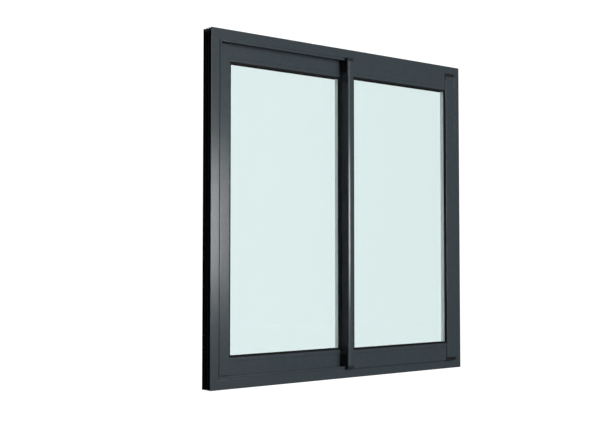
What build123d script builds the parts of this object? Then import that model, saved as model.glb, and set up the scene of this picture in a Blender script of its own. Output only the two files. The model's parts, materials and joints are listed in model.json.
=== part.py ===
from build123d import *
from math import radians, tan
import os

# A two-sash horizontal sliding window, shut.  Millimetres.  X runs along the sill, Y runs from
# outdoors to indoors and Z is up.  The origin is the middle of the underside of the closed window.
# The near sash runs on the outdoor track and shuts to the right, the far sash runs on the indoor
# track and shuts to the left.

# ---- Frame: distances "in" are measured from the outer edge towards the opening ----
WIDTH = 1200.0
HEIGHT = 1200.0
FRAME_FRONT = -22.0
FRAME_BACK = 26.0
FRAME_WALL = 2.0
RIB_HEIGHT = 10.0             # the perimeter ribs stand this far out of the grooves between them
RIB_SPANS = ((-22.0, -18.0), (-7.0, -5.0), (9.0, 11.0), (23.0, 26.0))
CHAMBER_SPANS = ((-20.0, -9.0), (-7.0, 11.0), (13.0, 24.0))
FACE_IN = 33.0                # inner face of the frame's box
FACE_ROUND = 0.8
FIN_IN = 42.6                 # running edge of the fins, which are strips clipped to the box
OUTDOOR_FIN = (-22.0, -19.0)
INDOOR_FIN = (19.0, 22.0)
FIN_ROUND = 1.3
JOINT_WIDTH = 3.0             # the sunk line where an outdoor strip meets the box
JOINT_DEPTH = 2.4
FIXING_RADIUS = 3.0
FIXING_SPACING = 800.0
FIXING_Y = 2.0                # off the middle, to the side away from the stile that shuts there
CLEAT_LEG = 60.0
CLEAT_GAP = 0.2

# ---- Sash: X as on the near sash, depth "d" from the front of its stiles ----
SASH_DEPTH = 35.0
NEAR_FRONT = -38.0
FAR_FRONT = 3.0
NEAR_MEETING_EDGE = -11.0     # the two meeting stiles stand one behind the other
FAR_MEETING_EDGE = -15.0
LOCK_EDGE = 556.7
LOCK_WIDTH = 50.0
LOCK_BOX = 30.0
MEETING_WIDTH = 26.5
MEETING_BOX = 16.0
STILE_WALL = 2.0
LIP_WALL = 1.8
LIP_DEPTH = 6.8
BACK_LIP = 33.5               # depth at which the rear glazing lip starts
NOSE_SUNK = 1.1               # the meeting stile's nose lies this far behind its face
NOSE_FLAT = 3.8
NOSE_SLOPE = 5.8
EDGE_ROUND = 1.2
STILE_END_IN = 45.0           # the stiles stop here and the caps go on to the frame

RAIL_FRONT = 5.0
RAIL_OUTER_IN = 34.0
RAIL_LIP_IN = 100.5
ROLLER_SHELF_IN = 68.0
POCKET_FLOOR_IN = 82.0
BEAD_IN = 87.3                # the glazing bead stands proud of the rail, past a groove
BEAD_FRONT = 4.2
BEAD_ROUND = 2.4
BEAD_GROOVE_WIDTH = 1.6
BEAD_GROOVE_DEPTH = 1.2
SCREW_PORT_IN = 75.0
SCREW_PORT_D = 20.0
SCREW_PORT_HALF = 4.0
SCREW_RADIUS = 2.0
SCREW_LENGTH = 38.0
SCREW_HEAD_RADIUS = 4.0
SCREW_HEAD_HEIGHT = 2.8
DRIVER_RADIUS = 5.0           # holes that let a driver reach the screws
COPE_GAP = 0.05

GLASS_D = 8.0
PANE = 4.0
CAVITY = 16.0
GLASS_IN = 86.5               # edge of the sealed unit, above and below
GLASS_COVER_LOCK = 14.0       # how far the lock stile and the meeting stile cover its sides
GLASS_COVER_MEETING = 9.0
SPACER_HEIGHT = 6.5
SPACER_SHOWS = (5.0, 2.5)     # how far it stands into the opening beside the stiles and the rails
GASKET_SHOWS = 7.0
GASKET_HIDDEN = 5.0
GASKET_FACE_STILE = 4.0       # depth of the gasket's face beside the stiles and beside the rails
GASKET_FACE_RAIL = 5.6
GASKET_BEVEL = 1.0
REAR_GASKET_SHOWS = (0.5, 5.5)
REAR_GASKET_SUNK = 0.6

CAP_FIN_SLOT = (12.5, 22.5)
CAP_SLOT_IN = 44.0
CAP_OUTER_IN = 33.2
CAP_PLUG = 10.0
PLUG_IN = 2.3                 # the plugs are this far inside the stile's faces
SEAL_BLOCK = 2.5
SEAL_BLOCK_IN = 86.0
INTERLOCK_IN = 90.0
INTERLOCK_REACH = 5.5
INTERLOCK_BLADE = 1.5
INTERLOCK_LIP = 20.0
INTERLOCK_FOOT = 4.4

# ---- Rollers ----
TRACK_D = 17.5
ROOT_RADIUS = 10.0
FLANGE_RADIUS = 12.0
WHEEL_WIDTH = 8.0
ROOT_WIDTH = 4.6
ROOT_FLARE = 0.6
ROLL_GAP = 0.3
AXLE_RADIUS = 2.5
AXLE_FIT = 0.05
WHEEL_Z = FIN_IN + ROLL_GAP + ROOT_RADIUS
WHEEL_X = {"inner": 95.0, "outer": 440.0}
CARRIAGE_HALF = 30.0
CARRIAGE_ROOF_IN = ROLLER_SHELF_IN - 2.0
CARRIAGE_BLOCK = 8.0
CARRIAGE_BLOCK_END_IN = 50.0
CHEEK_SPANS = ((11.0, 12.8), (22.2, 24.0))
CHEEK_END_IN = 47.0
AXLE_START_D = 10.4
AXLE_LENGTH = 14.2

# ---- Hook locks ----
LOCK_Z = 560.0
PIVOT_X = 541.0
HOOK_Y = 15.0                 # outdoors of the middle on the near sash, indoors on the far one
HOOK_THICK = 3.0
HOOK_TIP = 25.0
HOOK_INNER = 22.0
HOOK_ARM = 5.0
HOOK_TOOTH_DEG = 20.0
PIVOT_RADIUS = 3.0
PIVOT_FIT = 0.05
HOOK_SLOT = 2.0               # half the width of the slot in the stile, and its heights
HOOK_SLOT_Z = (-4.0, 24.0)
CASE_X = (530.0, 554.3)
CASE_Z = (LOCK_Z - 35.0, LOCK_Z + 45.0)
CASE_WALL = 1.4
CASE_GAP = 0.2
CUP_DEPTH = 7.3
SLIDER_TRAVEL = 12.0
SASH_TRAVEL = 520.0

# ---- Small parts ----
KEEPER_Y = (11.5, 18.5)
KEEPER_DEPTH = 7.5
KEEPER_FOOT = 2.0
KEEPER_LIP = 1.2
KEEPER_LIP_TOP = -3.0         # these heights are measured from the lock's centre
KEEPER_LOWER_Z = (-16.0, -12.0)
KEEPER_LOWER_FOOT = (-30.0, -12.0)
KEEPER_UPPER_Z = (20.0, 32.0)
KEEPER_UPPER_FOOT = (20.0, 46.0)
KEEPER_SCREW_LENGTH = 10.0
KEEPER_SCREW_HEAD = 3.4
BUMP_GAP = 0.4
JAMB_SEAL_Y = (4.5, 10.5)
JAMB_SEAL_IN = 50.0
SEAL_GAP = 0.5
BUMP_Y = (6.0, 16.0)
CENTRE_SEAL_X = (-10.0, 14.0)
CENTRE_SEAL_Y = (-2.5, 2.5)
CENTRE_SEAL_END_IN = 72.0
DEPTH = Vector(0, 1, 0)

os.makedirs("parts", exist_ok=True)


def finish(builder, name):
    """Label a finished piece and write it under its own name."""
    builder.part.label = name
    export_step(builder.part, f"parts/{name}.step")


def block(x_span, y_span, z_span, mode=Mode.ADD):
    """Add or cut a block given its two limits along each axis."""
    spans = (x_span, y_span, z_span)
    middle = [(span[0] + span[1]) / 2 for span in spans]
    size = [abs(span[1] - span[0]) for span in spans]
    with Locations(tuple(middle)):
        Box(*size, mode=mode)


def bar(start, direction, radius, length, mode=Mode.ADD):
    """Add or cut a round bar that starts at a point and runs along a direction."""
    with Locations(Plane(origin=start, z_dir=direction)):
        Cylinder(radius, length, align=(Align.CENTER, Align.CENTER, Align.MIN), mode=mode)


def patch(x_span, y_span, mode=Mode.ADD):
    """Add or cut a rectangle of a section sketch given its limits."""
    with Locations(((x_span[0] + x_span[1]) / 2, (y_span[0] + y_span[1]) / 2)):
        Rectangle(abs(x_span[1] - x_span[0]), abs(y_span[1] - y_span[0]), mode=mode)


def frame_section():
    """Box profile: sketch x is the distance in from the outer edge, sketch y is the depth."""
    with BuildSketch() as section:
        patch((RIB_HEIGHT, FACE_IN), (FRAME_FRONT, FRAME_BACK))
        for span in RIB_SPANS:
            patch((0, RIB_HEIGHT), span)
        for corner, radius in ((0, EDGE_ROUND), (-1, FACE_ROUND)):
            front_corners = section.vertices().group_by(Axis.Y)[0].sort_by(Axis.X)
            fillet(front_corners[corner], radius=radius)
        for span in CHAMBER_SPANS:
            wall_in = RIB_HEIGHT + FRAME_WALL
            patch((wall_in, FACE_IN - FRAME_WALL), span, mode=Mode.SUBTRACT)
    return section.sketch


def strip_section(span):
    """Profile of a track strip.  The outdoor one has a sunk line along the box."""
    with BuildSketch() as section:
        patch((FACE_IN, FIN_IN), span)
        fillet(section.vertices().group_by(Axis.X)[-1], radius=FIN_ROUND)
        if span == OUTDOOR_FIN:
            joint = (FACE_IN, FACE_IN + JOINT_WIDTH)
            patch(joint, (span[0], span[0] + JOINT_DEPTH), mode=Mode.SUBTRACT)
    return section.sketch


def frame_member(outer_middle, inward, length, section):
    """One mitred frame member, from the middle of its outer edge and its inward direction."""
    across = Plane(origin=outer_middle, x_dir=inward, z_dir=inward.cross(DEPTH))
    with BuildPart() as member:
        with BuildSketch(across):
            add(section)
        extrude(amount=length / 2, both=True)
        with BuildSketch(Plane(origin=outer_middle, x_dir=inward, z_dir=DEPTH)):
            with BuildLine():
                Polyline((0, -length / 2), (0, length / 2), (length / 2, 0), close=True)
            make_face()
        extrude(amount=FRAME_BACK * 2, both=True, mode=Mode.INTERSECT)
    return member


def screw_heights():
    """Heights of the two keeper screws beside each hook."""
    return (LOCK_Z - 23.0, LOCK_Z + 39.0)


def make_strips(name, outer_middle, inward, length):
    """The outdoor and indoor track strips along one frame member."""
    sections = [strip_section(span) for span in (OUTDOOR_FIN, INDOOR_FIN)]
    members = [frame_member(outer_middle, inward, length, section) for section in sections]
    with BuildPart() as strips:
        for member in members:
            add(member.part)
    finish(strips, name)


def make_jamb(name, side):
    """A jamb, drilled for the wall fixings and for the keeper screws.  Side is +1 at the right."""
    outer_middle = (side * WIDTH / 2, 0, HEIGHT / 2)
    inward = Vector(-side, 0, 0)
    member = frame_member(outer_middle, inward, HEIGHT, frame_section())
    inner_face = side * (WIDTH / 2 - FACE_IN)
    outwards = (side, 0, 0)
    with BuildPart() as jamb:
        add(member.part)
        for z in (HEIGHT / 2 - FIXING_SPACING / 2, HEIGHT / 2 + FIXING_SPACING / 2):
            hole_start = (inner_face - side, side * FIXING_Y, z)
            bar(hole_start, outwards, FIXING_RADIUS, FACE_IN + 2, mode=Mode.SUBTRACT)
        for z in screw_heights():
            hole_start = (inner_face - side, -side * HOOK_Y, z)
            bar(hole_start, outwards, SCREW_RADIUS, FRAME_WALL + 2, mode=Mode.SUBTRACT)
    finish(jamb, f"frame_jamb_{name}")
    make_strips(f"jamb_strips_{name}", outer_middle, inward, HEIGHT)


def make_frame():
    """The four mitred members and the track strips along them."""
    for name, z, up in (("sill", 0, 1), ("head", HEIGHT, -1)):
        member = frame_member((0, 0, z), Vector(0, 0, up), WIDTH, frame_section())
        finish(member, f"frame_{name}")
        make_strips(f"{name}_track_strips", (0, 0, z), Vector(0, 0, up), WIDTH)
    make_jamb("left", -1)
    make_jamb("right", 1)


def make_corner_cleats():
    """An L-shaped cleat in the middle chamber of each mitred corner."""
    low = RIB_HEIGHT + FRAME_WALL + CLEAT_GAP
    high = FACE_IN - FRAME_WALL - CLEAT_GAP
    depth = (CHAMBER_SPANS[1][0] + CLEAT_GAP, CHAMBER_SPANS[1][1] - CLEAT_GAP)
    with BuildPart() as cleats:
        for side in (-1, 1):
            for base, up in ((0, 1), (HEIGHT, -1)):
                edge = side * WIDTH / 2
                thick_x = (edge - side * low, edge - side * high)
                long_x = (edge - side * low, edge - side * (low + CLEAT_LEG))
                thick_z = (base + up * low, base + up * high)
                long_z = (base + up * low, base + up * (low + CLEAT_LEG))
                block(long_x, depth, thick_z)
                block(thick_x, depth, long_z)
    finish(cleats, "frame_corner_cleats")


def make_jamb_seals():
    """A soft strip on each jamb, for the stile that shuts against it."""
    with BuildPart() as seals:
        for side in (-1, 1):
            face = side * (WIDTH / 2 - FACE_IN)
            bulb_face = side * (LOCK_EDGE + SEAL_GAP)
            y_span = (-side * JAMB_SEAL_Y[0], -side * JAMB_SEAL_Y[1])
            block((bulb_face, face), y_span, (JAMB_SEAL_IN, HEIGHT - JAMB_SEAL_IN))
        inner_edges = seals.edges().filter_by(Axis.Z).filter_by_position(
            Axis.X, -LOCK_EDGE - 1, LOCK_EDGE + 1
        )
        fillet(inner_edges, radius=2.0)
    finish(seals, "jamb_seals")


def make_bump_stops():
    """Rubber blocks in the sill channel that end each sash's travel."""
    with BuildPart() as stops:
        for side, meeting_edge in ((-1, NEAR_MEETING_EDGE), (1, FAR_MEETING_EDGE)):
            y_span = (side * BUMP_Y[0], side * BUMP_Y[1])
            jamb_fin = side * (WIDTH / 2 - FIN_IN)
            face = side * (SASH_TRAVEL + BUMP_GAP + SEAL_BLOCK - meeting_edge)
            block((jamb_fin, face), y_span, (FACE_IN, FIN_IN - 0.8))
        outer_ends = stops.edges().filter_by(Axis.Y).group_by(Axis.Z)[-1]
        fillet(outer_ends, radius=2.0)
    finish(stops, "bump_stops")


def make_keepers():
    """At each jamb a lower bracket, whose lip the hook catches behind, and an upper one."""
    wall = WIDTH / 2 - FACE_IN
    face = wall - KEEPER_DEPTH
    foot = wall - KEEPER_FOOT
    with BuildPart() as keepers:
        for side in (-1, 1):
            y_span = (-side * KEEPER_Y[0], -side * KEEPER_Y[1])
            for z_low, z_high in (KEEPER_LOWER_Z, KEEPER_UPPER_Z):
                block((side * face, side * wall), y_span, (LOCK_Z + z_low, LOCK_Z + z_high))
            for z_low, z_high in (KEEPER_LOWER_FOOT, KEEPER_UPPER_FOOT):
                block((side * foot, side * wall), y_span, (LOCK_Z + z_low, LOCK_Z + z_high))
            lip_x = (side * face, side * (face + KEEPER_LIP))
            lip_z = (LOCK_Z + KEEPER_LOWER_Z[0], LOCK_Z + KEEPER_LIP_TOP)
            block(lip_x, y_span, lip_z)
            for z in screw_heights():
                start = (side * (foot - 1), -side * HOOK_Y, z)
                bar(start, (side, 0, 0), SCREW_RADIUS, KEEPER_FOOT + 2, mode=Mode.SUBTRACT)
    finish(keepers, "lock_keepers")


def make_keeper_screws():
    """Pan-head screws through the keepers into the jambs."""
    seat = WIDTH / 2 - FACE_IN - KEEPER_FOOT
    with BuildPart() as screws:
        for side in (-1, 1):
            for z in screw_heights():
                start = (side * seat, -side * HOOK_Y, z)
                bar(start, (side, 0, 0), SCREW_RADIUS - COPE_GAP / 2, KEEPER_SCREW_LENGTH)
                bar(start, (-side, 0, 0), KEEPER_SCREW_HEAD, KEEPER_FOOT)
    finish(screws, "keeper_screws")


def make_centre_seals():
    """Soft blocks at the middle of the sill and head, under and over the interlock."""
    with BuildPart() as seals:
        for z_span in z_pair(FACE_IN, CENTRE_SEAL_END_IN):
            block(CENTRE_SEAL_X, CENTRE_SEAL_Y, z_span)
        fillet(seals.edges().filter_by(Axis.Z), radius=1.0)
    finish(seals, "centre_seal_blocks")


class Sash:
    """One sash: its name, the side its lock stile is on, its front and its meeting edge."""

    def __init__(self, name, side, front, meeting_edge):
        self.name = name
        self.side = side
        self.front = front
        self.meeting_edge = meeting_edge

    def x(self, low, high):
        """Mirror a span of near-sash X onto this sash."""
        return tuple(sorted((self.side * low, self.side * high)))

    def y(self, low, high):
        """Turn a span of depth into a span of Y."""
        return (self.front + low, self.front + high)

    def point(self, x, d, z):
        """A point given by near-sash X, depth and height."""
        return (self.side * x, self.front + d, z)

    def hook_d(self):
        """Depth of the middle of the lock hook."""
        return -self.side * HOOK_Y - self.front

    def save(self, builder, piece):
        finish(builder, f"{self.name}_{piece}")


def z_pair(low_in, high_in):
    """The same height span at the bottom and, mirrored, at the top of the window."""
    return ((low_in, high_in), (HEIGHT - high_in, HEIGHT - low_in))


def stile_section(sash, edge, inward, box, width):
    """Stile profile: a box, and two lips that hold the glass.  A meeting stile has a sunk nose."""

    def at(distance):
        return sash.side * (edge + inward * distance)

    def across(low, high):
        return (at(low), at(high))

    with BuildSketch() as section:
        patch(across(0, box), sash.y(0, SASH_DEPTH))
        patch(across(box, width), sash.y(0, LIP_DEPTH))
        patch(across(box, width), sash.y(BACK_LIP, SASH_DEPTH))
        if box == MEETING_BOX:
            sunk = sash.front + NOSE_SUNK
            before = sash.front - 1
            slope_end = at(NOSE_FLAT + NOSE_SLOPE)
            with BuildLine():
                slope = ((at(-1), sunk), (at(NOSE_FLAT), sunk), (slope_end, sash.front))
                Polyline(*slope, (slope_end, before), (at(-1), before), close=True)
            make_face(mode=Mode.SUBTRACT)
            rounded = [-1 if sash.side * inward > 0 else 0]
        else:
            rounded = [0, -1]
        for corner in rounded:
            front_corners = section.vertices().group_by(Axis.Y)[0].sort_by(Axis.X)
            fillet(front_corners[corner], radius=EDGE_ROUND)
        box_depth = sash.y(STILE_WALL, SASH_DEPTH - STILE_WALL)
        patch(across(STILE_WALL, box - STILE_WALL), box_depth, mode=Mode.SUBTRACT)
        lip_depth = sash.y(LIP_WALL, LIP_DEPTH - LIP_WALL)
        patch(across(box + LIP_WALL, width - LIP_WALL), lip_depth, mode=Mode.SUBTRACT)
    return section.sketch


def make_stile(sash, piece, edge, inward, box, width):
    """One stile, drilled at both ends for the screws that hold the rails."""
    section = stile_section(sash, edge, inward, box, width)
    with BuildPart() as stile:
        with BuildSketch(Plane.XY.offset(STILE_END_IN)):
            add(section)
        extrude(amount=HEIGHT - 2 * STILE_END_IN)
        for z in (SCREW_PORT_IN, HEIGHT - SCREW_PORT_IN):
            direction = (sash.side * inward, 0, 0)
            driver_hole = sash.point(edge - inward, SCREW_PORT_D, z)
            bar(driver_hole, direction, DRIVER_RADIUS, STILE_WALL + 2, mode=Mode.SUBTRACT)
            screw_hole = sash.point(edge + inward * (box - 4), SCREW_PORT_D, z)
            bar(screw_hole, direction, SCREW_RADIUS + 0.1, 6, mode=Mode.SUBTRACT)
        if piece == "lock_stile":
            window_x = sash.x(CASE_X[0] - CASE_GAP, CASE_X[1] + CASE_GAP)
            window_z = (CASE_Z[0] - CASE_GAP, CASE_Z[1] + CASE_GAP)
            block(window_x, sash.y(SASH_DEPTH - 3, SASH_DEPTH + 1), window_z, mode=Mode.SUBTRACT)
            slot_y = sash.y(sash.hook_d() - HOOK_SLOT, sash.hook_d() + HOOK_SLOT)
            slot_z = (LOCK_Z + HOOK_SLOT_Z[0], LOCK_Z + HOOK_SLOT_Z[1])
            block(sash.x(LOCK_EDGE - 3, LOCK_EDGE + 1), slot_y, slot_z, mode=Mode.SUBTRACT)
    sash.save(stile, piece)


def rail_section(sash):
    """Bottom rail profile: sketch x is the depth, sketch y is the height."""
    with BuildSketch() as section:
        patch(sash.y(RAIL_FRONT, SASH_DEPTH), (RAIL_OUTER_IN, RAIL_LIP_IN))
        patch(sash.y(BEAD_FRONT, LIP_DEPTH), (BEAD_IN, RAIL_LIP_IN))
        groove = sash.y(RAIL_FRONT - 1, RAIL_FRONT + BEAD_GROOVE_DEPTH)
        patch(groove, (BEAD_IN - BEAD_GROOVE_WIDTH, BEAD_IN), mode=Mode.SUBTRACT)
        for corner, radius in ((0, FACE_ROUND), (-1, BEAD_ROUND)):
            bead_corners = section.vertices().group_by(Axis.X)[0].sort_by(Axis.Y)
            fillet(bead_corners[corner], radius=radius)
        inside = sash.y(RAIL_FRONT + STILE_WALL, SASH_DEPTH - STILE_WALL)
        patch(inside, (RAIL_OUTER_IN - 1, ROLLER_SHELF_IN), mode=Mode.SUBTRACT)
        port = (SCREW_PORT_D - SCREW_PORT_HALF, SCREW_PORT_D + SCREW_PORT_HALF)
        chamber_z = (ROLLER_SHELF_IN + STILE_WALL, POCKET_FLOOR_IN - STILE_WALL)
        patch(sash.y(RAIL_FRONT + STILE_WALL, port[0]), chamber_z, mode=Mode.SUBTRACT)
        patch(sash.y(port[1], SASH_DEPTH - STILE_WALL), chamber_z, mode=Mode.SUBTRACT)
        pocket = sash.y(LIP_DEPTH, BACK_LIP)
        patch(pocket, (POCKET_FLOOR_IN, RAIL_LIP_IN + 1), mode=Mode.SUBTRACT)
    return section.sketch


def make_rail(sash, piece, base, up):
    """A rail.  Its ends are coped to pass between the lips of the stiles and to clear the caps."""
    box_ends = (sash.meeting_edge + MEETING_BOX, LOCK_EDGE - LOCK_BOX)
    lip_ends = (sash.meeting_edge + MEETING_WIDTH, LOCK_EDGE - LOCK_WIDTH)
    start = min(sash.x(*box_ends))
    with BuildPart() as rail:
        with BuildSketch(Plane(origin=(start, 0, 0), x_dir=(0, 1, 0), z_dir=(1, 0, 0))):
            add(rail_section(sash))
        extrude(amount=box_ends[1] - box_ends[0])
        bottom, top = RAIL_OUTER_IN - 1, RAIL_LIP_IN + 1
        for end, lip in zip(box_ends, lip_ends):
            zone = sash.x(end, lip)
            block(zone, sash.y(-1, LIP_DEPTH + COPE_GAP), (bottom, top), mode=Mode.SUBTRACT)
            block(zone, sash.y(BACK_LIP - COPE_GAP, 36), (bottom, top), mode=Mode.SUBTRACT)
            block(zone, sash.y(-1, 36), (bottom, STILE_END_IN + 1), mode=Mode.SUBTRACT)
        port = sash.point(box_ends[0] - 1, SCREW_PORT_D, SCREW_PORT_IN)
        span = box_ends[1] - box_ends[0] + 2
        bar(port, (sash.side, 0, 0), SCREW_RADIUS + 0.1, span, mode=Mode.SUBTRACT)
        if up < 0:
            mirror(about=Plane.XY.offset(base / 2), mode=Mode.REPLACE)
    sash.save(rail, piece)


def make_assembly_screws(sash):
    """Four long screws through the stiles into the rails' screw ports."""
    with BuildPart() as screws:
        ends = ((sash.meeting_edge, 1, MEETING_BOX), (LOCK_EDGE, -1, LOCK_BOX))
        for edge, inward, box in ends:
            for z in (SCREW_PORT_IN, HEIGHT - SCREW_PORT_IN):
                seat = sash.point(edge + inward * (box - STILE_WALL), SCREW_PORT_D, z)
                bar(seat, (sash.side * inward, 0, 0), SCREW_RADIUS, SCREW_LENGTH)
                outward = (-sash.side * inward, 0, 0)
                bar(seat, outward, SCREW_HEAD_RADIUS, SCREW_HEAD_HEIGHT)
    sash.save(screws, "assembly_screws")


def opening_span(sash, side_inset, rail_inset=None):
    """X and Z spans of the glass opening, shrunk (or, if negative, grown) by one or two insets."""
    rail_inset = side_inset if rail_inset is None else rail_inset
    x_low = sash.meeting_edge + MEETING_WIDTH + side_inset
    x_high = LOCK_EDGE - LOCK_WIDTH - side_inset
    return (x_low, x_high), (RAIL_LIP_IN + rail_inset, HEIGHT - RAIL_LIP_IN - rail_inset)


def ring(sash, outer, inner, d_low, d_high):
    """Add a rectangular ring between two (X span, Z span) outlines, over a span of depth."""
    for outline, mode in ((outer, Mode.ADD), (inner, Mode.SUBTRACT)):
        block(sash.x(*outline[0]), sash.y(d_low, d_high), outline[1], mode=mode)


def unit_outline(sash):
    """X and Z spans of the sealed glass unit."""
    x_low = sash.meeting_edge + MEETING_WIDTH - GLASS_COVER_MEETING
    x_high = LOCK_EDGE - LOCK_WIDTH + GLASS_COVER_LOCK
    return (x_low, x_high), (GLASS_IN, HEIGHT - GLASS_IN)


def make_glass(sash):
    """Two panes, the spacer bar between them and the sealant round its outside."""
    outline = unit_outline(sash)
    cavity = (GLASS_D + PANE, GLASS_D + PANE + CAVITY)
    panes = {"glass_outer": GLASS_D, "glass_inner": cavity[1]}
    for piece, start in panes.items():
        with BuildPart() as pane:
            block(sash.x(*outline[0]), sash.y(start, start + PANE), outline[1])
            chamfer(pane.edges().filter_by(Axis.Y), length=0.8)
        sash.save(pane, piece)
    sight_line = opening_span(sash, *SPACER_SHOWS)
    back_line = opening_span(sash, *(shows - SPACER_HEIGHT for shows in SPACER_SHOWS))
    with BuildPart() as spacer:
        ring(sash, back_line, sight_line, *cavity)
    sash.save(spacer, "spacer")
    inner_edge = tuple((low + 1, high - 1) for low, high in outline)
    with BuildPart() as sealant:
        ring(sash, inner_edge, back_line, *cavity)
    sash.save(sealant, "edge_sealant")


def make_gaskets(sash):
    """Front and rear glazing gaskets: a foot under the lip and a face that shows beside it."""
    foot = opening_span(sash, -GASKET_HIDDEN)
    lip = opening_span(sash, COPE_GAP)
    inner = opening_span(sash, GASKET_SHOWS)
    back = LIP_DEPTH + COPE_GAP
    with BuildPart() as rail_faces:
        ring(sash, lip, inner, GASKET_FACE_RAIL, back)
    with BuildPart() as side_faces:
        ring(sash, lip, (inner[0], lip[1]), GASKET_FACE_STILE, GASKET_FACE_RAIL)
        front_edges = side_faces.edges().filter_by(Axis.Z).group_by(Axis.Y)[0]
        chamfer(front_edges.sort_by(Axis.X)[1:3], length=GASKET_BEVEL)
    with BuildPart() as front:
        ring(sash, foot, inner, back, GLASS_D)
        add(rail_faces.part)
        face = front.faces().filter_by(Axis.Y).sort_by(Axis.Y)[0]
        chamfer(face.inner_wires()[0].edges().filter_by(Axis.X), length=GASKET_BEVEL)
        add(side_faces.part)
    sash.save(front, "front_gasket")
    rear_start = GLASS_D + 2 * PANE + CAVITY
    rear_inner = opening_span(sash, *REAR_GASKET_SHOWS)
    with BuildPart() as rear:
        ring(sash, foot, rear_inner, rear_start, BACK_LIP - COPE_GAP)
        ring(sash, lip, rear_inner, BACK_LIP - COPE_GAP, SASH_DEPTH - REAR_GASKET_SUNK)
    sash.save(rear, "rear_gasket")


def make_setting_blocks(sash):
    """Plastic blocks that carry and centre the glass in the rails."""
    x_low, x_high = unit_outline(sash)[0]
    with BuildPart() as blocks:
        for share in (0.2, 0.8):
            middle = x_low + share * (x_high - x_low)
            for z_span in z_pair(POCKET_FLOOR_IN, GLASS_IN):
                block(sash.x(middle - 40, middle + 40), sash.y(GLASS_D + 0.5, 31.5), z_span)
    sash.save(blocks, "setting_blocks")


def make_end_caps(sash):
    """Black caps on both ends of both stiles, slotted to straddle the track fin."""
    stiles = (
        (LOCK_EDGE, -1, LOCK_BOX, LOCK_WIDTH),
        (sash.meeting_edge, 1, MEETING_BOX, MEETING_WIDTH),
    )
    with BuildPart() as caps:
        for edge, inward, box, width in stiles:
            for z_span, plug, slot in zip(
                z_pair(CAP_OUTER_IN, STILE_END_IN),
                z_pair(STILE_END_IN, STILE_END_IN + CAP_PLUG),
                z_pair(CAP_OUTER_IN - 1, CAP_SLOT_IN),
            ):
                cap_x = sash.x(edge, edge + inward * width)
                block(cap_x, sash.y(0, SASH_DEPTH), z_span)
                block(cap_x, sash.y(*CAP_FIN_SLOT), slot, mode=Mode.SUBTRACT)
                plug_x = sash.x(edge + inward * PLUG_IN, edge + inward * (box - PLUG_IN))
                block(plug_x, sash.y(PLUG_IN, SASH_DEPTH - PLUG_IN), plug)
        front = caps.edges().filter_by(Axis.Z).group_by(Axis.Y)[0]
        fillet(front, radius=EDGE_ROUND)
    sash.save(caps, "end_caps")


def make_side_seals(sash):
    """Seal blocks on the outer face of the meeting stile, beside the two end caps."""
    with BuildPart() as seals:
        for z_span, slot in zip(
            z_pair(CAP_OUTER_IN + 0.3, SEAL_BLOCK_IN), z_pair(CAP_OUTER_IN - 1, CAP_SLOT_IN)
        ):
            x_span = sash.x(sash.meeting_edge - SEAL_BLOCK, sash.meeting_edge)
            block(x_span, sash.y(1.5, SASH_DEPTH - 0.5), z_span)
            block(x_span, sash.y(*CAP_FIN_SLOT), slot, mode=Mode.SUBTRACT)
    sash.save(seals, "side_seal_blocks")


def make_interlock(sash):
    """A bar behind the meeting stile and, on it, the blade that laps the other sash's blade."""
    root, outward = (SASH_DEPTH, 1) if sash.side > 0 else (0, -1)
    blade_start = INTERLOCK_REACH - INTERLOCK_BLADE
    profiles = (
        (INTERLOCK_FOOT, (0, blade_start - COPE_GAP)),
        (INTERLOCK_LIP, (blade_start, INTERLOCK_REACH)),
    )
    with BuildPart() as strip:
        for width, (low, high) in profiles:
            x_span = sash.x(sash.meeting_edge, sash.meeting_edge + width)
            y_span = sash.y(root + outward * low, root + outward * high)
            block(x_span, y_span, (INTERLOCK_IN, HEIGHT - INTERLOCK_IN))
    sash.save(strip, "interlock")


def make_brush_seals(sash):
    """Pile strips inside the front skirts, brushing the front of the track fin."""
    fin_d = TRACK_D - 1.5
    x_span = sash.x(sash.meeting_edge + MEETING_WIDTH + 6, LOCK_EDGE - LOCK_WIDTH - 6)
    with BuildPart() as seals:
        for z_span in z_pair(36.0, 40.4):
            block(x_span, sash.y(RAIL_FRONT + STILE_WALL, fin_d - 0.4), z_span)
    sash.save(seals, "brush_seals")


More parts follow.
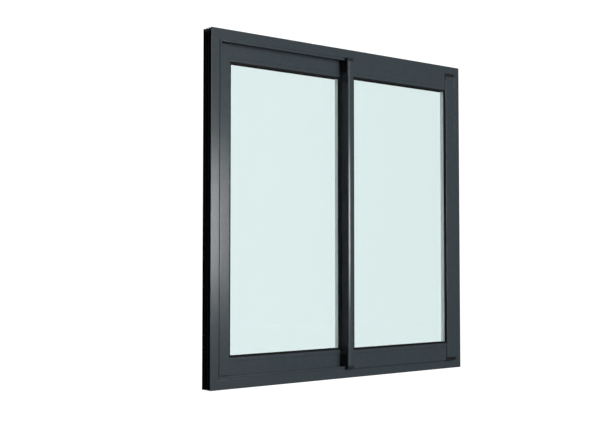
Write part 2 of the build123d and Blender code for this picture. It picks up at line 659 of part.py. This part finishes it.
def make_rollers(sash):
    """Two carriages under the bottom rail, their axles and their grooved wheels."""
    with BuildPart() as carriages:
        for x in WHEEL_X.values():
            x_span = sash.x(x - CARRIAGE_HALF, x + CARRIAGE_HALF)
            outer_faces = sash.y(CHEEK_SPANS[0][0], CHEEK_SPANS[1][1])
            block(x_span, outer_faces, (CARRIAGE_ROOF_IN, ROLLER_SHELF_IN))
            for span in CHEEK_SPANS:
                block(x_span, sash.y(*span), (CHEEK_END_IN, CARRIAGE_ROOF_IN))
            for end in (-1, 1):
                end_x = sash.x(x + end * CARRIAGE_HALF, x + end * (CARRIAGE_HALF - CARRIAGE_BLOCK))
                between_cheeks = sash.y(CHEEK_SPANS[0][1], CHEEK_SPANS[1][0])
                block(end_x, between_cheeks, (CARRIAGE_BLOCK_END_IN, CARRIAGE_ROOF_IN))
            start = sash.point(x, CHEEK_SPANS[0][0] - 1, WHEEL_Z)
            bar(start, DEPTH, AXLE_RADIUS + 0.01, AXLE_LENGTH + 1, mode=Mode.SUBTRACT)
    sash.save(carriages, "roller_carriages")
    with BuildPart() as axles:
        for x in WHEEL_X.values():
            bar(sash.point(x, AXLE_START_D, WHEEL_Z), DEPTH, AXLE_RADIUS, AXLE_LENGTH)
    sash.save(axles, "roller_axles")
    for place, x in WHEEL_X.items():
        half_width = WHEEL_WIDTH / 2
        half_root = ROOT_WIDTH / 2
        middle = sash.point(x, TRACK_D, WHEEL_Z)
        with BuildPart() as wheel:
            with BuildSketch(Plane(origin=middle, x_dir=(0, 0, 1), z_dir=(1, 0, 0))):
                with BuildLine():
                    Polyline(
                        (AXLE_RADIUS + AXLE_FIT, -half_width),
                        (FLANGE_RADIUS, -half_width),
                        (FLANGE_RADIUS, -half_root - ROOT_FLARE),
                        (ROOT_RADIUS, -half_root + ROOT_FLARE / 2),
                        (ROOT_RADIUS, half_root - ROOT_FLARE / 2),
                        (FLANGE_RADIUS, half_root + ROOT_FLARE),
                        (FLANGE_RADIUS, half_width),
                        (AXLE_RADIUS + AXLE_FIT, half_width),
                        close=True,
                    )
                make_face()
            revolve(axis=Axis(middle, DEPTH))
        sash.save(wheel, f"roller_{place}")


def make_lock_case(sash):
    """Lock case: a hook chamber open to the edge, and a finger cup open to the room."""
    hook_d = sash.hook_d()
    case_x = sash.x(*CASE_X)
    cup_floor = SASH_DEPTH - CUP_DEPTH
    chamber_back = hook_d + HOOK_THICK / 2 + 0.6
    pivot = sash.point(PIVOT_X, hook_d - HOOK_THICK / 2 - 1, LOCK_Z)
    with BuildPart() as case:
        block(case_x, sash.y(hook_d - 3.5, SASH_DEPTH - 0.1), CASE_Z)
        chamber_x = sash.x(CASE_X[0] + CASE_WALL, CASE_X[1] + 1)
        chamber_y = sash.y(hook_d - HOOK_THICK / 2 - 0.6, chamber_back)
        block(chamber_x, chamber_y, (LOCK_Z - 12, LOCK_Z + 28), mode=Mode.SUBTRACT)
        cup_x = sash.x(CASE_X[0] + CASE_WALL, CASE_X[1] - CASE_WALL)
        cup_z = (CASE_Z[0] + 4, CASE_Z[1] - 4)
        block(cup_x, sash.y(cup_floor, SASH_DEPTH), cup_z, mode=Mode.SUBTRACT)
        slot_z = (LOCK_Z - 5, LOCK_Z + SLIDER_TRAVEL)
        block(sash.x(533.0, 537.4), sash.y(chamber_back - 1, cup_floor + 1), slot_z,
              mode=Mode.SUBTRACT)
        bar(pivot, DEPTH, PIVOT_RADIUS, HOOK_THICK + 2)
    sash.save(case, "lock_case")


def make_lock_hook(sash):
    """The hook: an arm that points up when unlocked, with a tooth on the edge side of its tip."""
    hook_d = sash.hook_d()
    left = HOOK_ARM / 2
    reach = HOOK_TIP + 5
    plane = Plane(
        origin=sash.point(PIVOT_X, hook_d - HOOK_THICK / 2, LOCK_Z),
        x_dir=(sash.side, 0, 0),
        z_dir=(0, -sash.side, 0),
    )
    with BuildPart() as hook:
        with BuildSketch(plane):
            Circle(6.5)
            patch((-left, left), (0, HOOK_INNER + 1))
            with BuildSketch(mode=Mode.PRIVATE) as tooth:
                Circle(HOOK_TIP)
                Circle(HOOK_INNER, mode=Mode.SUBTRACT)
                with BuildLine():
                    far_side = (reach * tan(radians(HOOK_TOOTH_DEG)), reach)
                    Polyline((0, 0), (-left, 0), (-left, reach), far_side, close=True)
                make_face(mode=Mode.INTERSECT)
            add(tooth.sketch)
            Circle(PIVOT_RADIUS + PIVOT_FIT, mode=Mode.SUBTRACT)
        extrude(amount=-sash.side * HOOK_THICK)
    sash.save(hook, "lock_hook")


def make_lock_slider(sash):
    """Thumb slider in the cup, with a stem through the cup's floor to the hook."""
    hook_back = sash.hook_d() + HOOK_THICK / 2
    cup_floor = SASH_DEPTH - CUP_DEPTH
    with BuildPart() as slider:
        block(sash.x(533.0, 551.0), sash.y(cup_floor + 0.4, cup_floor + 2.4),
              (LOCK_Z - 14, LOCK_Z + 6))
        for ridge in range(5):
            z = LOCK_Z - 12 + 4 * ridge
            block(sash.x(535.0, 549.0), sash.y(cup_floor + 2.4, SASH_DEPTH - 1.6), (z - 0.9, z + 0.9))
        block(sash.x(533.5, 536.9), sash.y(hook_back + 0.9, cup_floor + 0.4),
              (LOCK_Z - 4.5, LOCK_Z - 0.5))
    sash.save(slider, "lock_slider")


def make_sash(sash):
    """Every piece of one sash."""
    make_rail(sash, "bottom_rail", HEIGHT, 1)
    make_rail(sash, "top_rail", HEIGHT, -1)
    make_stile(sash, "lock_stile", LOCK_EDGE, -1, LOCK_BOX, LOCK_WIDTH)
    make_stile(sash, "meeting_stile", sash.meeting_edge, 1, MEETING_BOX, MEETING_WIDTH)
    make_assembly_screws(sash)
    make_glass(sash)
    make_gaskets(sash)
    make_setting_blocks(sash)
    make_end_caps(sash)
    make_side_seals(sash)
    make_interlock(sash)
    make_brush_seals(sash)
    make_rollers(sash)
    make_lock_case(sash)
    make_lock_hook(sash)
    make_lock_slider(sash)


make_frame()
make_corner_cleats()
make_jamb_seals()
make_bump_stops()
make_keepers()
make_keeper_screws()
make_centre_seals()
make_sash(Sash("near", 1, NEAR_FRONT, NEAR_MEETING_EDGE))
make_sash(Sash("far", -1, FAR_FRONT, FAR_MEETING_EDGE))
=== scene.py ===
import json

import bpy
from mathutils import Matrix, Vector


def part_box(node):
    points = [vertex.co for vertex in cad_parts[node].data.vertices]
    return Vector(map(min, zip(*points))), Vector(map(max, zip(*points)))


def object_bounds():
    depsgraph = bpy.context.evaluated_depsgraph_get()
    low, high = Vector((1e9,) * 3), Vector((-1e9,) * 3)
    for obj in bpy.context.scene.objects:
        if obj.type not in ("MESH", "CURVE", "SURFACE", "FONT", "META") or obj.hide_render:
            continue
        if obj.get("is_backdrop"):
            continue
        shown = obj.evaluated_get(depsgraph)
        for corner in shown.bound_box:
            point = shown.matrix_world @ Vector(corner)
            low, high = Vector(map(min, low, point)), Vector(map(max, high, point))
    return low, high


# A two-sash sliding window in satin anthracite powder coat, on white.  Metres, +Z up.

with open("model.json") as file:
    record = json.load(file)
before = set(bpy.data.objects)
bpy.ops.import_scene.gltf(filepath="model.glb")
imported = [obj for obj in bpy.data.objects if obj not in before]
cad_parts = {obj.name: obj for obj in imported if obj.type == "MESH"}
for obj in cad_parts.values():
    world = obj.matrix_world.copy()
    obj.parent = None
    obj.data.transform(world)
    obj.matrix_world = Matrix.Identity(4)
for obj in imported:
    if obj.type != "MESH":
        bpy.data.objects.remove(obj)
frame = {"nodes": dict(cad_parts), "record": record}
nodes = frame["nodes"]
cad_low, cad_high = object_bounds()


# ---- Materials ----
PATTERN_LOW = 0.3  # the part of a 0..1 pattern that carries nearly all of its values
PATTERN_HIGH = 0.7


class Surface:
    """A node material under construction: a Principled shader with helpers to feed its sockets."""

    def __init__(self, name, colour, roughness, metallic=0.0, specular=0.5):
        self.material = bpy.data.materials.new(name)
        self.material.use_nodes = True
        self.tree = self.material.node_tree
        self.shader = self.tree.nodes["Principled BSDF"]
        self.shader.inputs["Base Color"].default_value = (*colour, 1)
        self.shader.inputs["Roughness"].default_value = roughness
        self.shader.inputs["Metallic"].default_value = metallic
        self.shader.inputs["Specular IOR Level"].default_value = specular
        self.colour = colour
        self.place = self.tree.nodes.new("ShaderNodeTexCoord")

    def link(self, output, target):
        self.tree.links.new(output, target)

    def scaled_place(self, scale):
        """Object coordinates multiplied by a scale for each axis."""
        mapping = self.tree.nodes.new("ShaderNodeMapping")
        mapping.inputs["Scale"].default_value = scale
        self.link(self.place.outputs["Object"], mapping.inputs["Vector"])
        return mapping.outputs["Vector"]

    def noise(self, size, stretch=(1, 1, 1), detail=3.0):
        """Noise whose grains are about `size` metres across, stretched along the axes given."""
        place = self.scaled_place([1 / (size * s) for s in stretch])
        grain = self.tree.nodes.new("ShaderNodeTexNoise")
        grain.inputs["Scale"].default_value = 1.0
        grain.inputs["Detail"].default_value = detail
        self.link(place, grain.inputs["Vector"])
        return grain.outputs["Fac"]

    def cells(self, size):
        """Cell pattern whose cells are about `size` metres across."""
        place = self.scaled_place([1 / size] * 3)
        cells = self.tree.nodes.new("ShaderNodeTexVoronoi")
        cells.inputs["Scale"].default_value = 1.0
        self.link(place, cells.inputs["Vector"])
        return cells.outputs["Distance"]

    def tint(self, value, spread):
        """Make the base colour lighter and darker by a share, following a pattern."""
        ramp = self.tree.nodes.new("ShaderNodeValToRGB")
        dark, light = ramp.color_ramp.elements
        dark.position = PATTERN_LOW
        light.position = PATTERN_HIGH
        dark.color = (*[c * (1 - spread) for c in self.colour], 1)
        light.color = (*[c * (1 + spread) for c in self.colour], 1)
        self.link(value, ramp.inputs["Fac"])
        self.link(ramp.outputs["Color"], self.shader.inputs["Base Color"])

    def roughen(self, value, low, high):
        """Let the roughness run between two values, following a pattern."""
        ramp = self.tree.nodes.new("ShaderNodeMapRange")
        ramp.inputs["From Min"].default_value = PATTERN_LOW
        ramp.inputs["From Max"].default_value = PATTERN_HIGH
        ramp.inputs["To Min"].default_value = low
        ramp.inputs["To Max"].default_value = high
        self.link(value, ramp.inputs["Value"])
        self.link(ramp.outputs["Result"], self.shader.inputs["Roughness"])

    def bump(self, value, height):
        """Stack a bump of this height in metres on the bumps already there."""
        bump = self.tree.nodes.new("ShaderNodeBump")
        bump.inputs["Strength"].default_value = 1.0
        bump.inputs["Distance"].default_value = height
        self.link(value, bump.inputs["Height"])
        below = self.shader.inputs["Normal"]
        if below.is_linked:
            self.link(below.links[0].from_socket, bump.inputs["Normal"])
        self.link(bump.outputs["Normal"], below)


PAINT_COLOUR = (0.036, 0.046, 0.053)
GLASS_COLOUR = (0.872, 0.944, 0.94)
RUBBER_COLOUR = (0.003, 0.003, 0.0033)
PLASTIC_COLOUR = (0.005, 0.0055, 0.006)
STEEL_COLOUR = (0.56, 0.57, 0.58)
ALUMINIUM_COLOUR = (0.6, 0.61, 0.62)
SPACER_COLOUR = (0.74, 0.8, 0.795)
PILE_COLOUR = (0.02, 0.02, 0.022)

GLASS_IOR = 1.5
DIE_LINES = {"x": (60, 1, 1), "z": (1, 1, 60)}  # grain stretch for each way a profile can run
UPRIGHT_STREAKS = (1, 1, 8)
UPRIGHT_LINES = (1, 1, 30)


def paint(name, direction):
    """Satin powder coat: a fine orange peel over faint lines left by the extrusion die."""
    s = Surface(name, PAINT_COLOUR, roughness=0.21)
    s.tint(s.noise(size=0.02, detail=4), spread=0.05)
    s.roughen(s.noise(size=0.006), low=0.19, high=0.23)
    s.bump(s.noise(size=0.0011, detail=2), height=0.00003)
    s.bump(s.noise(size=0.0007, stretch=DIE_LINES[direction], detail=1), height=0.000012)
    return s.material


def glass(name):
    """Float glass with a pale green-blue cast and the slightest waviness."""
    s = Surface(name, GLASS_COLOUR, roughness=0.0)
    s.shader.inputs["Transmission Weight"].default_value = 1.0
    s.shader.inputs["IOR"].default_value = GLASS_IOR
    s.bump(s.noise(size=0.25, detail=1), height=0.00001)
    return s.material


def rubber(name):
    """Black seal rubber, dull and faintly mottled."""
    s = Surface(name, RUBBER_COLOUR, roughness=0.62, specular=0.15)
    s.tint(s.noise(size=0.004), spread=0.25)
    s.roughen(s.noise(size=0.002), low=0.55, high=0.72)
    s.bump(s.noise(size=0.0006, detail=2), height=0.00003)
    return s.material


def plastic(name):
    """Black moulded nylon with a fine spark-eroded texture."""
    s = Surface(name, PLASTIC_COLOUR, roughness=0.5, specular=0.3)
    s.tint(s.noise(size=0.008), spread=0.12)
    s.roughen(s.noise(size=0.003), low=0.42, high=0.55)
    s.bump(s.cells(size=0.0009), height=0.00004)
    return s.material


def steel(name):
    """Zinc-plated steel."""
    s = Surface(name, STEEL_COLOUR, roughness=0.34, metallic=1.0)
    s.tint(s.noise(size=0.006, detail=4), spread=0.12)
    s.roughen(s.noise(size=0.002), low=0.28, high=0.42)
    s.bump(s.noise(size=0.0008, detail=2), height=0.00002)
    return s.material


def aluminium(name):
    """Bare aluminium as it leaves the mill, with upright die lines."""
    s = Surface(name, ALUMINIUM_COLOUR, roughness=0.4, metallic=1.0)
    s.tint(s.noise(size=0.01, stretch=UPRIGHT_STREAKS, detail=3), spread=0.06)
    s.roughen(s.noise(size=0.003), low=0.35, high=0.47)
    s.bump(s.noise(size=0.0006, stretch=UPRIGHT_LINES, detail=1), height=0.00001)
    return s.material


def matt_spacer(name):
    """The matt grey bar between the panes, with faint lines along its roll-formed faces."""
    s = Surface(name, SPACER_COLOUR, roughness=0.6, specular=0.25)
    s.tint(s.noise(size=0.01, stretch=UPRIGHT_STREAKS, detail=3), spread=0.05)
    s.roughen(s.noise(size=0.003), low=0.52, high=0.66)
    s.bump(s.noise(size=0.0006, stretch=UPRIGHT_LINES, detail=1), height=0.00001)
    return s.material


def pile(name):
    """The dark brush pile of the draught seals, as short upright fibres."""
    s = Surface(name, PILE_COLOUR, roughness=0.9, specular=0.2)
    s.tint(s.noise(size=0.0006, stretch=(1, 1, 5)), spread=0.5)
    s.bump(s.noise(size=0.0004, stretch=UPRIGHT_STREAKS), height=0.0003)
    return s.material


coats = {direction: paint(f"anthracite_{direction}", direction) for direction in DIE_LINES}
finishes = {
    "clear_glass": glass("float_glass"),
    "black_rubber": rubber("epdm_rubber"),
    "black_plastic": plastic("moulded_nylon"),
    "zinc_steel": steel("zinc_plate"),
    "mill_aluminium": aluminium("mill_aluminium"),
    "spacer_aluminium": matt_spacer("spacer_bar"),
    "glazing_sealant": rubber("sealant"),
    "brush_pile": pile("brush_pile"),
}

slots = {part["node"]: part["material_slot"] for part in frame["record"]["subparts"]}
for name, node in nodes.items():
    low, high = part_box(name)
    direction = "x" if high.x - low.x > high.z - low.z else "z"
    material = finishes.get(slots[name]) or coats[direction]
    node.data.materials.clear()
    node.data.materials.append(material)


# ---- Floor and room ----
BACKDROP = 1.12  # just over white, so that the backdrop stays white to the edges
FLOOR_RADIUS = 3.0
FLOOR_SIDES = 96
FLOOR_DROP = 0.0005
FLOOR_COLOUR = (0.002, 0.002, 0.002)
ROOM_COLOUR = (0.86, 0.95, 1.0)
ROOM_AT_HORIZON = 0.04
ROOM_OVERHEAD = 0.14
WHITE = (1, 1, 1)


def past_the_glass(tree):
    """1 for a look straight past or through the window, 0 for a look by one reflection."""
    seen = tree.nodes.new("ShaderNodeLightPath")
    reflected_once = tree.nodes.new("ShaderNodeMath")
    reflected_once.operation = "COMPARE"
    reflected_once.inputs[1].default_value = 1
    reflected_once.inputs[2].default_value = 0.5
    through = tree.nodes.new("ShaderNodeMath")
    through.operation = "SUBTRACT"
    either = tree.nodes.new("ShaderNodeMath")
    either.operation = "MAXIMUM"
    tree.links.new(seen.outputs["Glossy Depth"], reflected_once.inputs[0])
    tree.links.new(seen.outputs["Is Transmission Ray"], through.inputs[0])
    tree.links.new(reflected_once.outputs[0], through.inputs[1])
    tree.links.new(seen.outputs["Is Camera Ray"], either.inputs[0])
    tree.links.new(through.outputs[0], either.inputs[1])
    return either.outputs[0]


def white_floor():
    """A round floor as white as the backdrop, which throws no light of its own on the window."""
    bpy.ops.mesh.primitive_circle_add(
        vertices=FLOOR_SIDES, radius=FLOOR_RADIUS, fill_type="NGON"
    )
    floor = bpy.context.object
    floor.name = "floor"
    floor.location = (0, 0, cad_low.z - FLOOR_DROP)
    floor.visible_diffuse = False
    floor.visible_glossy = False
    s = Surface("white_floor", FLOOR_COLOUR, roughness=0.9, specular=0.0)
    s.shader.inputs["Emission Color"].default_value = (*WHITE, 1)
    glow = s.tree.nodes.new("ShaderNodeMapRange")
    glow.inputs["To Max"].default_value = BACKDROP
    s.link(past_the_glass(s.tree), glow.inputs["Value"])
    s.link(glow.outputs["Result"], s.shader.inputs["Emission Strength"])
    floor.data.materials.append(s.material)
    floor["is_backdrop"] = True


def white_room():
    """White wherever the camera looks past the window; dim blue-grey in every reflection.

    The light from elsewhere grows from the horizon to straight overhead."""
    world = bpy.data.worlds.new("room")
    bpy.context.scene.world = world
    world.use_nodes = True
    tree = world.node_tree
    tree.nodes.clear()
    backdrop = tree.nodes.new("ShaderNodeBackground")
    backdrop.inputs["Color"].default_value = (*WHITE, 1)
    backdrop.inputs["Strength"].default_value = BACKDROP
    ambient = tree.nodes.new("ShaderNodeBackground")
    ambient.inputs["Color"].default_value = (*ROOM_COLOUR, 1)
    direction = tree.nodes.new("ShaderNodeTexCoord")
    split = tree.nodes.new("ShaderNodeSeparateXYZ")
    height = tree.nodes.new("ShaderNodeMapRange")
    height.inputs["To Min"].default_value = ROOM_AT_HORIZON
    height.inputs["To Max"].default_value = ROOM_OVERHEAD
    mix = tree.nodes.new("ShaderNodeMixShader")
    out = tree.nodes.new("ShaderNodeOutputWorld")
    tree.links.new(direction.outputs["Generated"], split.inputs[0])
    tree.links.new(split.outputs["Z"], height.inputs["Value"])
    tree.links.new(height.outputs["Result"], ambient.inputs["Strength"])
    tree.links.new(past_the_glass(tree), mix.inputs[0])
    tree.links.new(ambient.outputs[0], mix.inputs[1])
    tree.links.new(backdrop.outputs[0], mix.inputs[2])
    tree.links.new(mix.outputs[0], out.inputs[0])


# ---- Lamps and camera ----
MIDDLE = (0, 0, 0.6)
LEFT_JAMB = (-0.6, 0, 0.68)

CAMERA_PLACE = (-2.4906, -2.8343, 0.4341)
CAMERA_RIGHT = (0.77852, -0.62762, 0.00014)
CAMERA_UP = (-0.02784, -0.03432, 0.99902)
CAMERA_LENS = 61.73


def softbox(name, place, target, size, watts):
    """A rectangular area light at a place, turned to a target.  The size is width and height."""
    light = bpy.data.lights.new(name, "AREA")
    light.shape = "RECTANGLE"
    light.size, light.size_y = size
    light.energy = watts
    lamp = bpy.data.objects.new(name, light)
    bpy.context.scene.collection.objects.link(lamp)
    lamp.location = place
    lamp.rotation_euler = (Vector(target) - Vector(place)).to_track_quat("-Z", "Y").to_euler()
    lamp.visible_camera = False
    lamp.visible_transmission = False


def camera_at(place, right, up, lens):
    """A camera given by its place and the directions of its right and up sides."""
    data = bpy.data.cameras.new("camera")
    data.lens = lens
    camera = bpy.data.objects.new("camera", data)
    bpy.context.scene.collection.objects.link(camera)
    right = Vector(right).normalized()
    back = right.cross(Vector(up)).normalized()
    up = back.cross(right)
    turn = Matrix((right, up, back)).transposed()
    camera.matrix_world = Matrix.Translation(place) @ turn.to_4x4()
    bpy.context.scene.camera = camera


white_floor()
white_room()
softbox("key", place=(1.18, -3.1, 0.665), target=LEFT_JAMB, size=(0.45, 0.84), watts=21)
softbox("fill", place=(0.0, -3.6, 1.1), target=MIDDLE, size=(1.6, 2.2), watts=142)
softbox("rear", place=(1.2, 3.4, 1.8), target=MIDDLE, size=(3.2, 2.4), watts=300)
softbox("side", place=(3.4, 0.9, 2.3), target=MIDDLE, size=(1.2, 2.0), watts=60)
camera_at(CAMERA_PLACE, CAMERA_RIGHT, CAMERA_UP, CAMERA_LENS)
bpy.context.scene.view_settings.view_transform = "Standard"

low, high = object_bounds()
